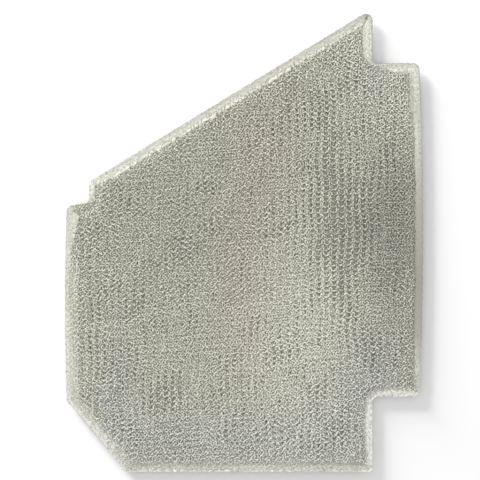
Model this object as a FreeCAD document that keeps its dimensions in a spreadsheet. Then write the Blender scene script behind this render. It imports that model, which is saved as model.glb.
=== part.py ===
"""Frameless cooker hood grease filter: one pad of knitted aluminium mesh with a pressed rim.

The pad is a stack of knitted mesh that was cut to the hood's outline and crushed flat round
its edge, so it is one solid: a thin rim at mid height, and a field that swells above and below
it. The wales of the knit stand up as ridges on both faces, and the openings that line up
through the whole stack are gaps in the furrows between them.

Millimetres. +Z is through the thickness, +Y points to the peak, and the origin is at the middle
of the outline's box, on the surface that the filter lies on.
"""

import FreeCAD
import Part

import math
import os

import Sketcher

SIZES = [
    # alias, value, what it measures
    ("overall_width", 269.0, "across the crests of the two bowed sides"),
    ("overall_length", 344.0, "from the bottom edge to the top of the rounded peak"),
    ("pad_thickness", 9.0, "over the crests of the ridges on both faces"),
    ("rim_thickness", 2.2, "crushed rim"),
    ("rim_width", 6.4, "from the cut edge to the foot of the field"),
    ("right_bow", 2.8, "how far the right side swells past a straight line"),
    ("left_bow", 1.5, "how far the left side swells past a straight line"),
    ("upper_notch_width", 35.2, "notch beside the peak"),
    ("upper_notch_depth", 37.1, "notch beside the peak"),
    ("lower_notch_width", 35.2, "notch at the lower right"),
    ("lower_notch_depth", 56.4, "notch at the lower right"),
    ("slope_angle", 31.4, "sloping edge above the horizontal, in degrees"),
    ("left_step_width", 16.6, "step at the foot of the sloping edge"),
    ("left_step_height", 15.6, "step at the foot of the sloping edge"),
    ("left_ear_fall", 2.7, "fall of the left ear's top edge towards the left"),
    ("chamfer_width", 44.5, "cut corner at the lower left"),
    ("chamfer_height", 53.8, "cut corner at the lower left"),
    ("peak_radius", 5.1, "rim corner at the peak"),
    ("ear_corner_radius", 5.0, "rim corners of the two ears"),
    ("blunt_corner_radius", 3.0, "other outer rim corners"),
    ("notch_corner_radius", 4.0, "inner rim corners"),
    ("wall_draft", 25.0, "lean of the field's walls, in degrees"),
    ("field_corner_radius", 7.0, "outer corners of the field at its foot"),
    ("shoulder_size", 2.4, "cut-back of the shoulders between the field's walls and its faces"),
    ("wale_pitch", 5.7, "from one ridge of the knit to the next"),
    ("crest_land", 0.8, "flat on a ridge's crest, where the wire was pressed"),
    ("furrow_depth", 0.5, "from a ridge's crest to the furrow beside it"),
    ("gap_width", 2.2, "opening through the stack, across the wales"),
    ("gap_length", 3.4, "opening through the stack, along the wales"),
    ("gap_every", 4, "wales from one column of gaps to the next"),
    ("gap_spacing", 24.0, "from gap to gap along a column"),
    ("gap_margin", 10.0, "least distance from a gap's middle to the foot of the field"),
]
SLOPE = "Sizes.slope_angle * 1 deg"
RIGHT_CHORD = "(Sizes.overall_width / 2 - Sizes.right_bow)"
LEFT_CHORD = "(Sizes.overall_width / 2 - Sizes.left_bow)"
HALF_LENGTH = "(Sizes.overall_length / 2)"
# The sharp corner at the peak stands above the round that is left of it.
PEAK_TOP = f"({HALF_LENGTH} + Sizes.peak_radius * (1 / tan((90 deg - {SLOPE}) / 2) - 1))"
SLOPE_RUN = f"({RIGHT_CHORD} + {LEFT_CHORD} - Sizes.upper_notch_width - Sizes.left_step_width)"
RIGHT_SIDE = "(Sizes.overall_length - Sizes.upper_notch_depth - Sizes.lower_notch_depth)"
LEFT_SIDE = (
    f"({PEAK_TOP} - {SLOPE_RUN} * tan({SLOPE}) - Sizes.left_step_height - Sizes.left_ear_fall"
    f" + {HALF_LENGTH} - Sizes.chamfer_height)"
)
# An odd number, so that there is a furrow down the middle.
FURROWS = "(2 * floor(Sizes.overall_width / Sizes.wale_pitch / 2) + 1)"
FURROW_WIDTH = "(Sizes.wale_pitch - Sizes.crest_land)"
# A ridge's flank is round, so half way down the furrow it has fallen by a quarter of the depth.
KNEE_DEPTH = "Sizes.furrow_depth / 4"
CLEAR = "Sizes.furrow_depth"  # how far a furrow's cutter stands clear of the face that it cuts
SAME = 1e-4  # two places nearer than this are one
# A sketch's own origin and upright axis, as constraints name them.
ORIGIN = (-1, 1)
UPRIGHT = (-2,)


def make_sheet(doc):
    """The driving dimensions, one row each."""
    sheet = doc.addObject("Spreadsheet::Sheet", "Sizes")
    for row, (alias, value, meaning) in enumerate(SIZES, start=1):
        sheet.set(f"A{row}", meaning)
        sheet.set(f"B{row}", str(value))
        sheet.setAlias(f"B{row}", alias)
    doc.recompute()
    return sheet


def new_sketch(body, name, role):
    """An empty sketch of the body on the origin plane of that role."""
    sketch = body.newObject("Sketcher::SketchObject", name)
    plane = next(f for f in body.Origin.OriginFeatures if f.Role == role)
    sketch.AttachmentSupport = (plane, [""])
    sketch.MapMode = "FlatFace"
    return sketch


def bind(sketch, expression, kind, *places):
    """A dimension of the sketch that takes its value from the sheet."""
    index = sketch.addConstraint(Sketcher.Constraint(kind, *places, 1.0))
    sketch.setExpression(f"Constraints[{index}]", expression)


def outline_corners(sheet):
    """The outline's sharp corners, anticlockwise from the left end of the bottom edge."""
    right = sheet.overall_width / 2 - sheet.right_bow
    left = sheet.left_bow - sheet.overall_width / 2
    top = sheet.overall_length / 2
    slope = math.radians(sheet.slope_angle)
    peak_top = top + sheet.peak_radius * (1 / math.tan((math.pi / 2 - slope) / 2) - 1)
    peak_x = right - sheet.upper_notch_width
    tail_x = right - sheet.lower_notch_width
    step_x = left + sheet.left_step_width
    slope_end = peak_top - (peak_x - step_x) * math.tan(slope)
    step_y = slope_end - sheet.left_step_height
    lower_shelf = sheet.lower_notch_depth - top
    upper_shelf = top - sheet.upper_notch_depth
    return {
        "bottom_left": (left + sheet.chamfer_width, -top),
        "bottom_right": (tail_x, -top),
        "lower_notch": (tail_x, lower_shelf),
        "ear_bottom": (right, lower_shelf),
        "ear_top": (right, upper_shelf),
        "upper_notch": (peak_x, upper_shelf),
        "peak": (peak_x, peak_top),
        "slope_end": (step_x, slope_end),
        "left_step": (step_x, step_y),
        "left_ear": (left, step_y - sheet.left_ear_fall),
        "chamfer_top": (left, sheet.chamfer_height - top),
    }


def draw_outline(body, sheet):
    """The cut edge of the mesh with sharp corners, at mid height. Both long sides are bowed."""
    sketch = new_sketch(body, "CutEdge", "XY_Plane")
    sketch.setExpression("AttachmentOffset.Base.z", "Sizes.pad_thickness / 2")
    corners = outline_corners(sheet)
    bows = {"ear_bottom": sheet.right_bow, "left_ear": -sheet.left_bow}
    names = list(corners)
    edge = {name: index for index, name in enumerate(names)}  # each edge by the corner it leaves
    for name, following in zip(names, names[1:] + names[:1]):
        start = FreeCAD.Vector(*corners[name], 0)
        end = FreeCAD.Vector(*corners[following], 0)
        if name in bows:
            crest = (start + end) / 2 + FreeCAD.Vector(bows[name], 0, 0)
            sketch.addGeometry(Part.Arc(start, crest, end))
        else:
            sketch.addGeometry(Part.LineSegment(start, end))
    for name, following in zip(names, names[1:] + names[:1]):
        # Both arcs run anticlockwise, so that every edge ends where the next one starts.
        sketch.addConstraint(Sketcher.Constraint("Coincident", edge[name], 2, edge[following], 1))
    for name in ("bottom_left", "lower_notch", "ear_top"):
        sketch.addConstraint(Sketcher.Constraint("Horizontal", edge[name]))
    for name in ("bottom_right", "upper_notch", "slope_end"):
        sketch.addConstraint(Sketcher.Constraint("Vertical", edge[name]))
    for name in bows:
        sketch.addConstraint(Sketcher.Constraint("Vertical", edge[name], 1, edge[name], 2))

    def ends(name):
        return (edge[name], 1, edge[name], 2)

    def ends_back(name):
        return (edge[name], 2, edge[name], 1)

    bind(sketch, HALF_LENGTH, "DistanceY", edge["bottom_left"], 1, *ORIGIN)
    bind(sketch, f"{HALF_LENGTH} - Sizes.upper_notch_depth", "DistanceY", *ORIGIN, edge["ear_top"], 1)
    bind(sketch, PEAK_TOP, "DistanceY", *ORIGIN, edge["peak"], 1)
    bind(sketch, RIGHT_CHORD, "DistanceX", *ORIGIN, edge["ear_bottom"], 1)
    bind(sketch, LEFT_CHORD, "DistanceX", edge["left_ear"], 1, *ORIGIN)
    bind(sketch, "Sizes.lower_notch_depth", "DistanceY", *ends("bottom_right"))
    bind(sketch, "Sizes.lower_notch_width", "DistanceX", *ends("lower_notch"))
    bind(sketch, "Sizes.upper_notch_width", "DistanceX", *ends_back("ear_top"))
    bind(sketch, f"180 deg + {SLOPE}", "Angle", edge["peak"])
    bind(sketch, "Sizes.left_step_height", "DistanceY", *ends_back("slope_end"))
    bind(sketch, "Sizes.left_step_width", "DistanceX", *ends_back("left_step"))
    bind(sketch, "Sizes.left_ear_fall", "DistanceY", *ends_back("left_step"))
    bind(sketch, "Sizes.chamfer_width", "DistanceX", *ends("chamfer_top"))
    bind(sketch, "Sizes.chamfer_height", "DistanceY", *ends_back("chamfer_top"))
    for name, chord, bow in (
        ("ear_bottom", RIGHT_SIDE, "Sizes.right_bow"),
        ("left_ear", LEFT_SIDE, "Sizes.left_bow"),
    ):
        bind(sketch, f"{chord}^2 / (8 * {bow}) + {bow} / 2", "Radius", edge[name])
    return sketch


def edges_at(feature, test):
    """The names of the feature's edges that pass the test."""
    return [f"Edge{n}" for n, edge in enumerate(feature.Shape.Edges, start=1) if test(edge)]


def round_edges(body, name, base, test, radius):
    """A fillet of that radius on the base's edges that pass the test."""
    body.Document.recompute()
    fillet = body.newObject("PartDesign::Fillet", name)
    fillet.Base = (base, edges_at(base, test))
    fillet.setExpression("Radius", radius)
    return fillet


def stands_at(place):
    """A test for upright edges at a place of the outline."""

    def test(edge):
        low, high = edge.BoundBox.ZMin, edge.BoundBox.ZMax
        middle = edge.BoundBox.Center
        away = math.hypot(middle.x - place[0], middle.y - place[1])
        return high - low > SAME and away < SAME

    return test


def add_rim(body, outline, sheet):
    """The crushed rim: a flat flange with the outline's corners rounded."""
    rim = body.newObject("PartDesign::Pad", "Rim")
    rim.Profile = outline
    rim.SideType = "Symmetric"
    rim.setExpression("Length", "Sizes.rim_thickness")
    corners = outline_corners(sheet)
    rounds = {
        "Sizes.peak_radius": ["peak"],
        "Sizes.ear_corner_radius": ["ear_bottom", "ear_top", "left_ear"],
        "Sizes.blunt_corner_radius": ["bottom_left", "bottom_right", "slope_end", "chamfer_top"],
        "Sizes.notch_corner_radius": ["lower_notch", "upper_notch", "left_step"],
    }
    base = rim
    for radius, names in rounds.items():
        tests = [stands_at(corners[name]) for name in names]
        label = "Round" + names[0].title().replace("_", "")
        base = round_edges(body, label, base, lambda e, tests=tests: any(t(e) for t in tests), radius)


def offset_face(body, name, source, distance):
    """The face inside a closed outline after its edge has moved outwards by that distance."""
    face = body.newObject("PartDesign::SubShapeBinder", name)
    face.Support = [(source, ("",))]
    face.setExpression("Offset", distance)
    face.OffsetJoinType = "Arcs"
    body.Document.recompute()
    return face


def add_field(body, outline, sheet):
    """The swollen field above and below the rim: leaning walls with cut-back shoulders."""
    # The walls lean in from mid height, and cross the rim's faces at the foot of the field.
    lean = "Sizes.rim_thickness / 2 * tan(Sizes.wall_draft * 1 deg)"
    # Going in too far and back out again leaves the outer corners rounded.
    radius = "Sizes.field_corner_radius"
    inset = offset_face(body, "FieldInset", outline, f"{lean} - Sizes.rim_width - {radius}")
    foot = offset_face(body, "FieldFoot", inset, radius)
    field = body.newObject("PartDesign::Pad", "Field")
    field.Profile = (foot, [""])
    field.SideType = "Two sides"
    for side in ("", "2"):
        field.setExpression("Length" + side, "Sizes.pad_thickness / 2")
        field.setExpression("TaperAngle" + side, "-Sizes.wall_draft * 1 deg")
    middle = sheet.pad_thickness / 2

    def is_shoulder(edge):
        box = edge.BoundBox
        return box.ZLength < SAME and abs(abs(box.Center.z - middle) - middle) < SAME

    body.Document.recompute()
    shoulders = body.newObject("PartDesign::Chamfer", "Shoulders")
    shoulders.Base = (field, edges_at(field, is_shoulder))
    shoulders.setExpression("Size", "Sizes.shoulder_size")
    body.Document.recompute()
    return foot


def cut_through(body, sketch, name, length):
    """A pocket of the sketch that runs both ways from it, over that length in all."""
    pocket = body.newObject("PartDesign::Pocket", name)
    pocket.Profile = sketch
    pocket.SideType = "Symmetric"
    pocket.setExpression("Length", length)
    return pocket


def gap_places(foot, sheet):
    """The middles of the gaps: staggered columns in every few furrows, within the field."""
    middle = sheet.pad_thickness / 2
    reach = sheet.overall_length
    column_pitch = sheet.gap_every * sheet.wale_pitch
    last = int(sheet.overall_width / 2 / column_pitch)
    places = []
    for column in range(-last, last + 1):
        across = column * column_pitch
        ray = Part.makeLine((across, -reach, middle), (across, reach, middle))
        stagger = sheet.gap_spacing / 2 * (column % 2)
        for stretch in ray.common(foot.Shape).Edges:
            low = (stretch.BoundBox.YMin + sheet.gap_margin - stagger) / sheet.gap_spacing
            high = (stretch.BoundBox.YMax - sheet.gap_margin - stagger) / sheet.gap_spacing
            for row in range(math.ceil(low), math.floor(high) + 1):
                places.append((across, row * sheet.gap_spacing + stagger))
    return places


def add_gaps(body, foot, sheet):
    """The openings that line up through the stack, each a diamond between four loops."""
    sketch = new_sketch(body, "Gaps", "XY_Plane")
    half_width = sheet.gap_width / 2
    half_length = sheet.gap_length / 2
    sides = []
    for x, y in gap_places(foot, sheet):
        tips = [
            FreeCAD.Vector(x - half_width, y, 0),
            FreeCAD.Vector(x, y - half_length, 0),
            FreeCAD.Vector(x + half_width, y, 0),
            FreeCAD.Vector(x, y + half_length, 0),
        ]
        sides += [Part.LineSegment(*ends) for ends in zip(tips, tips[1:] + tips[:1])]
    sketch.addGeometry(sides)
    cut_through(body, sketch, "GapCut", "4 * Sizes.pad_thickness")


def draw_furrow(body, sheet):
    """The sections of the first furrow between two ridges, on the upper and lower face."""
    sketch = new_sketch(body, "Furrow", "XZ_Plane")
    half = (sheet.wale_pitch - sheet.crest_land) / 2
    depth = sheet.furrow_depth
    for face, up in ((sheet.pad_thickness, 1), (0.0, -1)):
        # From the left crest down to the bottom, up to the right crest and back clear of the face.
        heights = ((-half, 0), (-half / 2, -depth / 4), (0, -depth), (half / 2, -depth / 4), (half, 0))
        heights += ((half, depth), (-half, depth))
        corners = [FreeCAD.Vector(x, face + up * height, 0) for x, height in heights]
        lines = [Part.LineSegment(*ends) for ends in zip(corners, corners[1:] + corners[:1])]
        sides = sketch.addGeometry(lines)
        for side, following in zip(sides, sides[1:] + sides[:1]):
            sketch.addConstraint(Sketcher.Constraint("Coincident", side, 2, following, 1))
        left_crest, left_knee, bottom, right_knee, right_crest, right_top, left_top = ((n, 1) for n in sides)
        sketch.addConstraint(Sketcher.Constraint("Vertical", *left_crest, *left_top))
        sketch.addConstraint(Sketcher.Constraint("Vertical", *right_crest, *right_top))
        sketch.addConstraint(Sketcher.Constraint("Horizontal", *left_top, *right_top))
        sketch.addConstraint(Sketcher.Constraint("PointOnObject", *bottom, *UPRIGHT))
        sketch.addConstraint(Sketcher.Constraint("Symmetric", *left_crest, *right_crest, *UPRIGHT))
        sketch.addConstraint(Sketcher.Constraint("Symmetric", *left_knee, *right_knee, *UPRIGHT))
        bind(sketch, FURROW_WIDTH, "DistanceX", *left_crest, *right_crest)
        bind(sketch, f"{FURROW_WIDTH} / 2", "DistanceX", *left_knee, *right_knee)
        for rise, low, high in (
            ("Sizes.furrow_depth", bottom, left_crest),
            (KNEE_DEPTH, left_knee, left_crest),
            (CLEAR, left_crest, left_top),
        ):
            bind(sketch, rise, "DistanceY", *(low + high if up > 0 else high + low))
        if up > 0:
            bind(sketch, "Sizes.pad_thickness", "DistanceY", *ORIGIN, *left_crest)
        else:
            sketch.addConstraint(Sketcher.Constraint("Horizontal", *left_crest, *ORIGIN))
    sketch.setExpression("AttachmentOffset.Base.x", f"(1 - {FURROWS}) / 2 * Sizes.wale_pitch")
    return sketch


def add_furrows(body, sheet):
    """The furrows between the wales, from side to side of the pad on both faces."""
    sketch = draw_furrow(body, sheet)
    cut = cut_through(body, sketch, "FurrowCut", "2 * Sizes.overall_length")
    furrows = body.newObject("PartDesign::LinearPattern", "Furrows")
    furrows.Originals = [cut]
    furrows.Direction = (sketch, ["H_Axis"])
    furrows.Mode = "Spacing"
    furrows.setExpression("Offset", "Sizes.wale_pitch")
    furrows.setExpression("Occurrences", FURROWS)
    body.Tip = furrows


def check(doc, body):
    """Stop before anything is written if an object failed or the pad isn't one sound solid."""
    failed = [obj.Name for obj in doc.Objects if {"Invalid", "Error"} & set(obj.State)]
    if failed:
        raise RuntimeError("failed objects: " + ", ".join(failed))
    if body.Shape.isNull() or not body.Shape.isValid() or len(body.Shape.Solids) != 1:
        raise RuntimeError(f"{body.Label} isn't one valid solid")


def main():
    doc = FreeCAD.newDocument("GreaseFilter")
    sheet = make_sheet(doc)
    body = doc.addObject("PartDesign::Body", "FilterPad")
    body.Label = "filter_pad"
    outline = draw_outline(body, sheet)
    add_rim(body, outline, sheet)
    foot = add_field(body, outline, sheet)
    add_gaps(body, foot, sheet)
    add_furrows(body, sheet)
    doc.recompute()
    check(doc, body)
    os.makedirs("parts", exist_ok=True)
    body.Shape.exportStep(f"parts/{body.Label}.step")
    print(f"{body.Label}: {body.Shape.Volume / 1000:.1f} cm3, {len(body.Shape.Faces)} faces")


main()
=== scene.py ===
"""Dresses a cooker hood grease filter in knitted aluminium wire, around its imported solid."""

import math
from typing import NamedTuple

import bpy
import numpy as np
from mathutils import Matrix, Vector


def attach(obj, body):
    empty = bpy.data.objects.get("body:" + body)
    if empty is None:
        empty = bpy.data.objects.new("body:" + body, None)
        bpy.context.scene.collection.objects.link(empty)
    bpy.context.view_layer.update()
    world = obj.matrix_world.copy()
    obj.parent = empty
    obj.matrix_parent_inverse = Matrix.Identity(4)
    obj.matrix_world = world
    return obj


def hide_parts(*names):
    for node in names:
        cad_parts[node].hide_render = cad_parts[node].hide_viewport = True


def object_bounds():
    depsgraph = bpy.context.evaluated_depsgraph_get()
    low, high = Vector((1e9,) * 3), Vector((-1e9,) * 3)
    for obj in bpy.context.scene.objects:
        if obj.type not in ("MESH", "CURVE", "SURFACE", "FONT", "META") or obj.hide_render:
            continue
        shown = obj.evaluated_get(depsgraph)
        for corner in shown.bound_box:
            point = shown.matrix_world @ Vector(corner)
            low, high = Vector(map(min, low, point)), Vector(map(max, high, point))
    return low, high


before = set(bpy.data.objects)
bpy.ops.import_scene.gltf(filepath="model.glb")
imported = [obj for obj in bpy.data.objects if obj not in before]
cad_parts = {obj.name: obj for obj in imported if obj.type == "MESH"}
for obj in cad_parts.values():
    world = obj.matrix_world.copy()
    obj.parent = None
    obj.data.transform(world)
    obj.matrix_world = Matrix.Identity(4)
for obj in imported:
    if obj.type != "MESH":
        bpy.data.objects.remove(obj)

bl_info = {
    "name": "Cooker hood grease filter",
    "version": (1, 0, 0),
    "blender": (4, 5, 0),
    "location": "View3D > Sidebar > Grease filter",
    "description": "Knits, crushes and lights the aluminium mesh of a cooker hood grease filter",
    "category": "Object",
}

MM = 0.001
CAD_BOX = [list(corner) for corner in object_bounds()]
BODY = "root"
PAD_NODE = "filter_pad"
FULL_TURN = 2 * math.pi
TOP, UNDER = 1, -1


def linear(hex_colour):
    """The linear RGB of a colour written as sRGB hex."""
    channels = [int(hex_colour[place:place + 2], 16) / 255 for place in (1, 3, 5)]
    return tuple(c / 12.92 if c <= 0.04045 else ((c + 0.055) / 1.055) ** 2.4 for c in channels)


def length(name, description, millimetres, least=0.0):
    """A size that the user may change, kept in metres."""
    return bpy.props.FloatProperty(
        name=name, description=description, default=millimetres * MM, min=least * MM,
        precision=5, subtype="DISTANCE", unit="LENGTH")


def colour(name, description, hex_colour):
    """A colour that the user may change."""
    return bpy.props.FloatVectorProperty(
        name=name, description=description, default=linear(hex_colour), size=3,
        min=0.0, max=1.0, subtype="COLOR")


class KnitSettings(bpy.types.PropertyGroup):
    """The loops of the knitted wire and how far they stray."""

    wale_pitch: length("Wale pitch", "Width of one loop, from column to column", 5.7)
    course_pitch: length("Course pitch", "Height of one loop, from row to row", 4.0)
    loop_reach: length("Loop reach", "Half the height that the wire swings in one loop", 3.75)
    loop_bulge: length("Loop bulge", "How far a loop's head bulges over its legs", 0.75)
    loop_pinch: length("Loop pinch", "How far a loop's legs are drawn together", 0.5)
    loop_lift: length("Loop lift", "How far heads stand above legs where wires cross", 0.26)
    wire_width: length("Wire width", "Width of the flattened wire", 0.8)
    head_spread: bpy.props.FloatProperty(
        name="Head spread", description="How much wider the wire is flattened on heads than on legs",
        default=0.45, min=0.0, max=0.9)
    wire_thickness: length("Wire thickness", "Thickness of the flattened wire", 0.3)
    row_rise: bpy.props.FloatProperty(
        name="Row rise", description="How steeply the rows of loops climb to the right", default=0.085)
    wander: length("Wander", "How far whole groups of loops stray from an even lattice", 0.75)
    jitter: length("Jitter", "How far each loop strays by itself", 0.34)


class RimSettings(bpy.types.PropertyGroup):
    """The mesh that is crushed flat round the edge."""

    station: length("Station spacing", "Distance between cross-sections along the edge", 1.1)
    dent: length("Dent depth", "Depth of the dents that the crushed strands leave", 0.14)
    ragged: length("Ragged edge", "How far the cut edge wavers", 0.5)


class FinishSettings(bpy.types.PropertyGroup):
    """Colours of the aluminium where it is open, crushed or deep."""

    wire: colour("Wire", "Open knit in plain light", "#E1E1D2")
    cool_wire: colour("Cool wire", "Open knit where it looks bluish", "#DDDED9")
    warm_wire: colour("Warm wire", "Open knit where it looks pinkish", "#E4DED0")
    # The rim's colour runs from the next one, crushed strands in full light, to the one after it, which
    # is painted shade for crushed strands that lie away from the light.
    crushed: colour("Crushed rim", "Crushed strands that shine together", "#F6F5EA")
    shaded_rim: colour("Dull rim", "Crushed strands that lie away from the light", "#ADAC9D")
    cool_rim: colour("Cool rim", "Crushed strands where the knit looks bluish", "#F9F9F6")
    # The cut edge's grey is partly its own colour and partly painted shade along the edge.
    edge_grey_and_shade: colour("Cut edge", "Crushed strands at the cut edge", "#9C9A97")
    # Flecks are painted shade in the gaps between crushed strands.
    fleck: colour("Fleck", "Flattened gaps between crushed strands", "#A3A297")
    # Darker than the open wire, as painted shade of the depth.
    deep: colour("Deep mesh", "Layers below the open knit", "#BAB8AD")


class StageSettings(bpy.types.PropertyGroup):
    """The camera and the light over the filter."""

    view_width: length("View width", "Width of the square picture at the filter", 360.0)
    view_distance: length("View distance", "Height of the camera over the filter", 1100.0)
    view_across: length(
        "View across", "Where the picture's middle lies across the filter", -3.0, least=-1000.0)
    view_along: length(
        "View along", "Where the picture's middle lies along the filter", 2.2, least=-1000.0)
    lamp_power: bpy.props.FloatProperty(
        name="Lamp power", description="Power of the high soft lamp that lights the filter",
        default=44.0, min=0.0, unit="POWER")
    floor_power: bpy.props.FloatProperty(
        name="Floor power", description="Power of the low lamp that draws the shadow on the floor",
        default=132.0, min=0.0, unit="POWER")
    sky: bpy.props.FloatProperty(
        name="Sky", description="Strength of the even light from all round", default=0.67, min=0.0)


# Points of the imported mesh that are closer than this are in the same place.
SAME_PLACE = 0.001 * MM


def triangles_of(mesh):
    """A mesh's points, with those in the same place made one, and its triangles."""
    mesh.calc_loop_triangles()
    places = np.empty(len(mesh.vertices) * 3)
    mesh.vertices.foreach_get("co", places)
    corners = np.empty(len(mesh.loop_triangles) * 3, dtype=np.int32)
    mesh.loop_triangles.foreach_get("vertices", corners)
    places = places.reshape(-1, 3)
    _, first, same = np.unique(
        np.round(places / SAME_PLACE), axis=0, return_index=True, return_inverse=True)
    return places[first], same.reshape(-1)[corners].reshape(-1, 3)


def smooth(rise):
    """An even S-shaped rise from 0 to 1."""
    rise = np.clip(rise, 0.0, 1.0)
    return rise * rise * (3 - 2 * rise)


# A random field is a sum of this many waves, whose lengths differ by these factors.
WAVE_COUNT = 8
WAVE_LENGTHS = (0.7, 1.4)


def ripples(places, seed, wavelength):
    """A smooth random field over places in the plane, mostly between -1 and 1."""
    draw = np.random.default_rng(seed)
    field = np.zeros(places.shape[:-1])
    for _ in range(WAVE_COUNT):
        angle, phase = draw.uniform(0, FULL_TURN, 2)
        turns = FULL_TURN / (wavelength * draw.uniform(*WAVE_LENGTHS))
        along = places[..., 0] * math.cos(angle) + places[..., 1] * math.sin(angle)
        field += np.sin(along * turns + phase)
    return field / math.sqrt(WAVE_COUNT)


def nearest_station(places, stations, at_once=2000):
    """The number of the station that is nearest to each place, worked out a batch at a time."""
    return np.concatenate([
        ((places[start:start + at_once, None] - stations) ** 2).sum(2).argmin(1)
        for start in range(0, len(places), at_once)])


class PadForm:
    """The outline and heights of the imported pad, read from its mesh."""

    # How many places are measured in one batch.
    at_once = 20000
    # Heights that differ by less than this are level.
    level = 0.01 * MM
    # A face is upright where its direction rises by less than this share.
    upright_share = 0.001
    # Points of the rim closer to the outline than this belong to the cut edge.
    edge_band = 1.0 * MM
    # The knit starts to rise to the field this far out on the rim.
    foot_spread = 0.8 * MM
    # Stands for the rise of a run that is level, which no place lies beside.
    least_rise = 1e-12
    # Steps tried on the way inwards, and the share of each that has to be free of other edges.
    room_steps = 40
    room_share = 0.97

    def __init__(self, mesh):
        points, faces = triangles_of(mesh)
        heights = points[:, 2]
        edge = heights[points[:, 1] < points[:, 1].min() + self.level]
        self.rim_high = edge.max()
        self.middle = (heights.min() + heights.max()) / 2
        self.rim_half = self.rim_high - self.middle
        self.pad_half = heights.max() - self.middle
        self.outline = self.walk(points, faces)
        self.runs = np.roll(self.outline, -1, axis=0) - self.outline
        inset = self.inset(points[:, :2])
        on_rim = np.abs(heights - self.rim_high) < self.level
        self.rim_width = inset[on_rim & (inset > self.edge_band)].min()
        self.crest_inset = inset[heights > heights.max() - self.level].min()

    def walk(self, points, faces):
        """The outline, anticlockwise, along the upper edge of the rim's outer wall."""
        ends = points[faces]
        across = np.cross(ends[:, 1] - ends[:, 0], ends[:, 2] - ends[:, 0])
        upright = np.abs(across[:, 2]) < self.upright_share * np.linalg.norm(across, axis=1)
        follows = {}
        for face in faces[upright]:
            for here, there in zip(face, np.roll(face, -1)):
                if np.all(np.abs(points[[here, there], 2] - self.rim_high) < self.level):
                    follows[here] = there
        place = next(iter(follows))
        order = [place]
        while follows[place] != order[0]:
            place = follows[place]
            order.append(place)
        loop = points[order, :2]
        area = np.sum(loop[:, 0] * np.roll(loop[:, 1], -1) - loop[:, 1] * np.roll(loop[:, 0], -1))
        return loop if area > 0 else loop[::-1]

    def inset(self, places):
        """How far places in the plane lie inside the outline, below 0 outside it."""
        flat = places.reshape(-1, 2)
        return np.concatenate([
            self.inset_of(flat[start:start + self.at_once])
            for start in range(0, len(flat), self.at_once)]).reshape(places.shape[:-1])

    def inset_of(self, places):
        """The inset of one batch of places."""
        away = places[:, None, :] - self.outline[None]
        share = np.clip((away * self.runs).sum(2) / (self.runs ** 2).sum(1), 0.0, 1.0)
        nearest = np.sqrt(((away - share[..., None] * self.runs) ** 2).sum(2).min(1))
        ahead = np.roll(self.outline, -1, axis=0)
        spans = (self.outline[:, 1] > places[:, 1:]) != (ahead[:, 1] > places[:, 1:])
        is_level = np.abs(self.runs[:, 1]) < self.least_rise
        rise = np.where(is_level, self.least_rise, self.runs[:, 1])
        meets = away[..., 0] < self.runs[:, 0] * away[..., 1] / rise
        inside = (spans & meets).sum(1) % 2 == 1
        return np.where(inside, nearest, -nearest)

    def climb(self, inset):
        """How far up the field's wall places are: 0 on the rim, 1 on the crest."""
        return smooth((inset - self.rim_width) / (self.crest_inset - self.rim_width))

    def half_height(self, inset):
        """Height of the pad's surface over its middle, by its distance from the outline."""
        foot = self.rim_width - self.foot_spread
        rise = smooth((inset - foot) / (self.crest_inset - foot))
        return self.rim_half + (self.pad_half - self.rim_half) * rise

    def stations(self, spacing):
        """Even steps along the outline, with the direction straight inwards at each."""
        lengths = np.linalg.norm(self.runs, axis=1)
        marks = np.concatenate([[0.0], np.cumsum(lengths)])
        count = int(marks[-1] / spacing)
        wanted = np.arange(count) * marks[-1] / count
        closed = np.vstack([self.outline, self.outline[:1]])
        places = np.stack([np.interp(wanted, marks, closed[:, axis]) for axis in (0, 1)], axis=1)
        ahead = np.roll(places, -1, axis=0) - np.roll(places, 1, axis=0)
        inward = np.stack([-ahead[:, 1], ahead[:, 0]], axis=1)
        return places, inward / np.linalg.norm(inward, axis=1)[:, None]

    def room(self, places, inward, most):
        """How far each place can go straight inwards before another edge is nearer."""
        steps = np.linspace(0.0, most, self.room_steps + 1)[1:]
        tried = places[:, None, :] + inward[:, None, :] * steps[None, :, None]
        held = self.inset(tried) > self.room_share * steps
        free = np.cumprod(held, axis=1).sum(1)
        return np.concatenate([[0.0], steps])[free]


PAD = PadForm(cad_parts[PAD_NODE].data)


class EdgeMark(NamedTuple):
    """A place on the edge in millimetres, and how the knit is crushed there.

    width is how far in it is crushed smooth, shine how bright that is: the crushed strands' own paleness
    together with painted light and shade by how that stretch of edge lies to the light. line is how grey
    the cut edge shows, partly painted shade, fade how far the knit beyond still looks pressed, and crease
    how dark the painted shade gets where the knit folds down beside the crushed band.
    """

    x: float
    y: float
    width: float
    shine: float
    line: float
    fade: float
    crease_shade: float


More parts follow.
